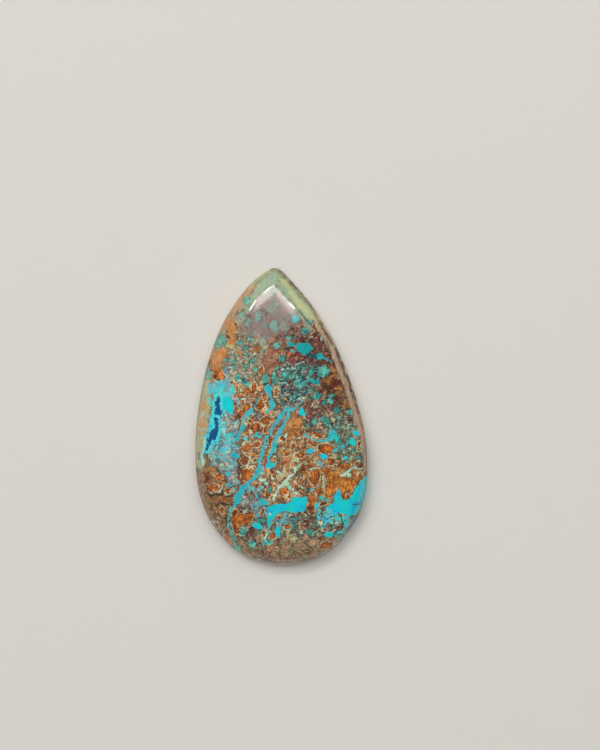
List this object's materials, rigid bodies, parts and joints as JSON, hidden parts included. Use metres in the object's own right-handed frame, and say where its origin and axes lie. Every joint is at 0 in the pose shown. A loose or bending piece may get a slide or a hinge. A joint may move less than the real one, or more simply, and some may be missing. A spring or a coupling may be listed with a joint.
{
  "type": "chrysocolla specimen",
  "caption": "Pear-shaped polished cabochon of chrysocolla in brown jasper, with a flat back, a low domed face and a bevelled shoulder.",
  "frame": {"origin": "middle of the flat back, at the centre of the outline's box", "axes": "+Y towards the point of the pear, +Z out of the domed face, +X to the right seen from the front"},
  "size_m": [0.0172, 0.03, 0.0048],
  "materials": {
    "polished_chrysocolla": "polished stone: turquoise-blue chrysocolla veins and patches in orange, brown and maroon jasper"
  },
  "bodies": {
    "root": {"chrysocolla_cabochon": "polished_chrysocolla"}
  },
  "joints": []
}
